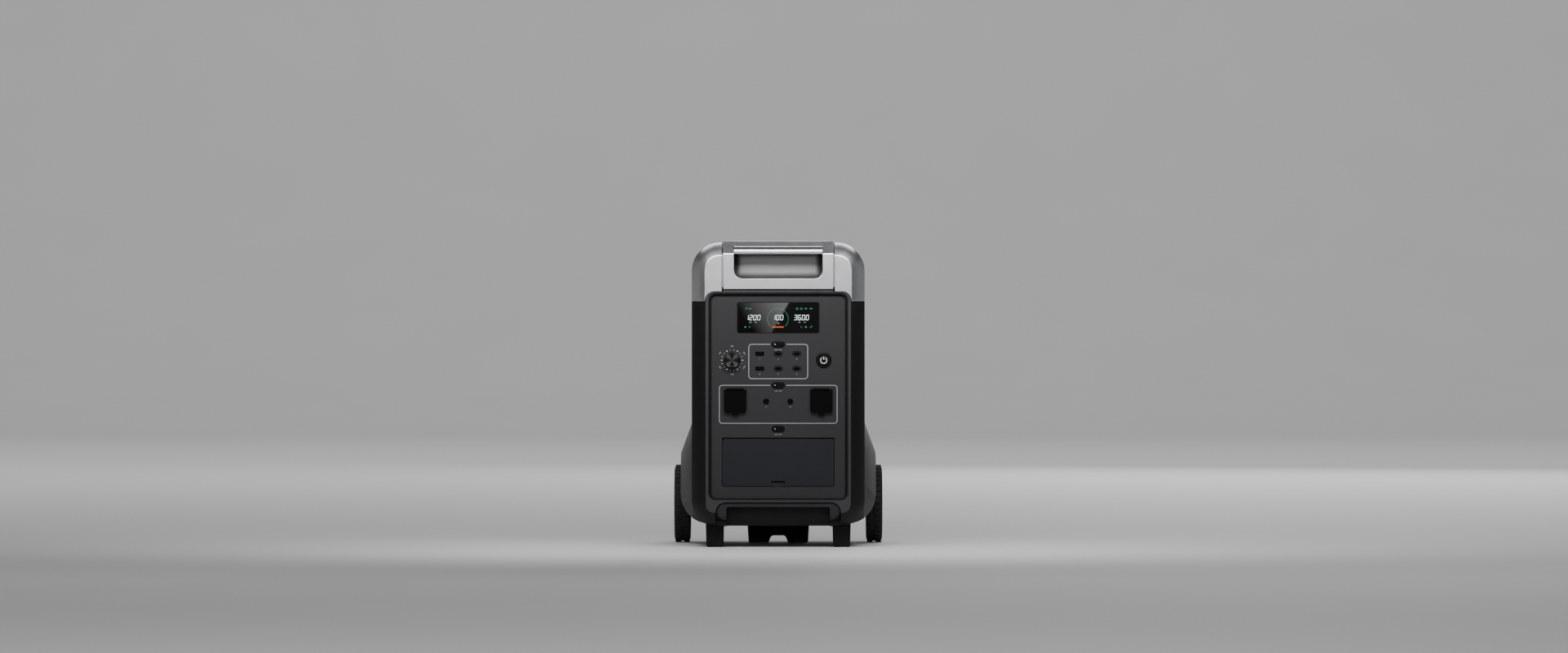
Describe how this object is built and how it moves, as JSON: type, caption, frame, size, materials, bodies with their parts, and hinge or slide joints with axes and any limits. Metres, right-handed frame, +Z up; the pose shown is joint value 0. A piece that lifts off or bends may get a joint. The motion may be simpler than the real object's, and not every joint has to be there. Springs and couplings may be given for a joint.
{
  "type": "power_station",
  "caption": "A wheeled tower power station with a silver cap, a black body, a telescopic pull handle and a control panel with a display, ports and an outlet door.",
  "frame": {"origin": "on the floor, under the middle of the object's bounding box", "axes": "+X to the right of someone facing the control panel, +Y from the control panel to the rear, +Z up"},
  "size_m": [0.3648, 0.3994, 0.5266],
  "materials": {
    "silver_plastic": "satin silver-grey metallic plastic",
    "black_plastic": "matt black moulded plastic",
    "panel_plastic": "satin dark grey moulded plastic",
    "gloss_black": "gloss black plastic",
    "black_rubber": "matt black rubber",
    "tyre_rubber": "matt black solid tyre",
    "hub_plastic": "satin dark grey plastic",
    "polished_aluminium": "polished aluminium",
    "brushed_steel": "brushed steel",
    "sheet_metal": "plain aluminium",
    "dark_glass": "dark tinted display window",
    "circuit_board": "green circuit board",
    "cell_wrap": "blue cell wrap"
  },
  "bodies": {
    "housing": {"upper_shell": "silver_plastic", "lower_shell": "black_plastic", "handle_housing": "silver_plastic", "rear_cover": "black_plastic", "front_bezel": "panel_plastic", "front_panel": "panel_plastic", "base_arch": "panel_plastic", "fender_left": "panel_plastic", "fender_right": "panel_plastic", "front_foot_left": "black_rubber", "front_foot_right": "black_rubber", "centre_skid": "black_plastic", "axle": "brushed_steel", "vent_grille_left": "black_plastic", "vent_grille_right": "black_plastic", "ac_inlet": "gloss_black", "solar_inlet": "gloss_black", "display_lens": "dark_glass", "display_module": "black_plastic", "usb_board": "circuit_board", "dc_board": "circuit_board", "dial_switch": "brushed_steel", "car_socket_left": "black_plastic", "car_socket_right": "black_plastic", "outlet_tray": "black_plastic", "outlet_pair_left": "black_plastic", "outlet_pair_right": "black_plastic", "outer_tube_left": "brushed_steel", "outer_tube_right": "brushed_steel", "battery_tray": "sheet_metal", "cell_stack_left": "cell_wrap", "cell_stack_right": "cell_wrap", "battery_board": "circuit_board", "electronics_deck": "sheet_metal", "inverter_board": "circuit_board", "heat_sink": "sheet_metal", "fan_frame_left": "black_plastic", "fan_frame_right": "black_plastic"},
    "middle_stage": {"middle_tube_left": "brushed_steel", "middle_tube_right": "brushed_steel"},
    "pull_handle": {"inner_tube_left": "brushed_steel", "inner_tube_right": "brushed_steel", "grip_bar": "polished_aluminium", "grip_core": "black_plastic", "grip_cover": "silver_plastic"},
    "wheel_left": {"tyre_left": "tyre_rubber", "wheel_hub_left": "hub_plastic"},
    "wheel_right": {"tyre_right": "tyre_rubber", "wheel_hub_right": "hub_plastic"},
    "dial": {"dial_knob": "gloss_black"},
    "power_key": {"power_button": "gloss_black"},
    "usb_key": {"usb_switch": "gloss_black"},
    "dc_key": {"dc_switch": "gloss_black"},
    "ac_key": {"ac_switch": "gloss_black"},
    "flap_left": {"socket_flap_left": "black_rubber"},
    "flap_right": {"socket_flap_right": "black_rubber"},
    "outlet_door": {"ac_door": "panel_plastic"},
    "outlet_latch": {"door_latch": "panel_plastic"},
    "fan_left": {"fan_rotor_left": "black_plastic"},
    "fan_right": {"fan_rotor_right": "black_plastic"}
  },
  "joints": [
    {"name": "handle_stage_1", "type": "slide", "parent": "housing", "child": "middle_stage", "axis": [0, 0, 1], "range_m": [0, 0.18]},
    {"name": "handle_stage_2", "type": "slide", "parent": "middle_stage", "child": "pull_handle", "axis": [0, 0, 1], "range_m": [0, 0.18]},
    {"name": "dial_turn", "type": "hinge", "parent": "housing", "child": "dial", "pos_m": [-0.0791, -0.18935, 0.32113], "axis": [0, 1, 0], "range_deg": [-150, 150]},
    {"name": "power_press", "type": "slide", "parent": "housing", "child": "power_key", "axis": [0, 1, 0], "range_m": [0, 0.0012], "stiffness_N_per_m": 600},
    {"name": "usb_press", "type": "slide", "parent": "housing", "child": "usb_key", "axis": [0, 1, 0], "range_m": [0, 0.001], "stiffness_N_per_m": 600},
    {"name": "dc_press", "type": "slide", "parent": "housing", "child": "dc_key", "axis": [0, 1, 0], "range_m": [0, 0.001], "stiffness_N_per_m": 600},
    {"name": "ac_press", "type": "slide", "parent": "housing", "child": "ac_key", "axis": [0, 1, 0], "range_m": [0, 0.001], "stiffness_N_per_m": 600},
    {"name": "flap_left_hinge", "type": "hinge", "parent": "housing", "child": "flap_left", "pos_m": [-0.0739, -0.19365, 0.27109], "axis": [-1, 0, 0], "range_deg": [0, 105]},
    {"name": "flap_right_hinge", "type": "hinge", "parent": "housing", "child": "flap_right", "pos_m": [0.0739, -0.19365, 0.27109], "axis": [-1, 0, 0], "range_deg": [0, 105]},
    {"name": "outlet_door_hinge", "type": "hinge", "parent": "housing", "child": "outlet_door", "pos_m": [0, -0.1867, 0.18432], "axis": [-1, 0, 0], "range_deg": [0, 105]},
    {"name": "outlet_latch_slide", "type": "slide", "parent": "outlet_door", "child": "outlet_latch", "axis": [0, 0, 1], "range_m": [0, 0.002], "stiffness_N_per_m": 300},
    {"name": "wheel_left_spin", "type": "hinge", "parent": "housing", "child": "wheel_left", "pos_m": [0, 0.12465, 0.068], "axis": [1, 0, 0], "continuous": true},
    {"name": "wheel_right_spin", "type": "hinge", "parent": "housing", "child": "wheel_right", "pos_m": [0, 0.12465, 0.068], "axis": [1, 0, 0], "continuous": true},
    {"name": "fan_left_spin", "type": "hinge", "parent": "housing", "child": "fan_left", "pos_m": [0, 0.03465, 0.3193], "axis": [1, 0, 0], "continuous": true},
    {"name": "fan_right_spin", "type": "hinge", "parent": "housing", "child": "fan_right", "pos_m": [0, 0.03465, 0.3193], "axis": [1, 0, 0], "continuous": true}
  ]
}
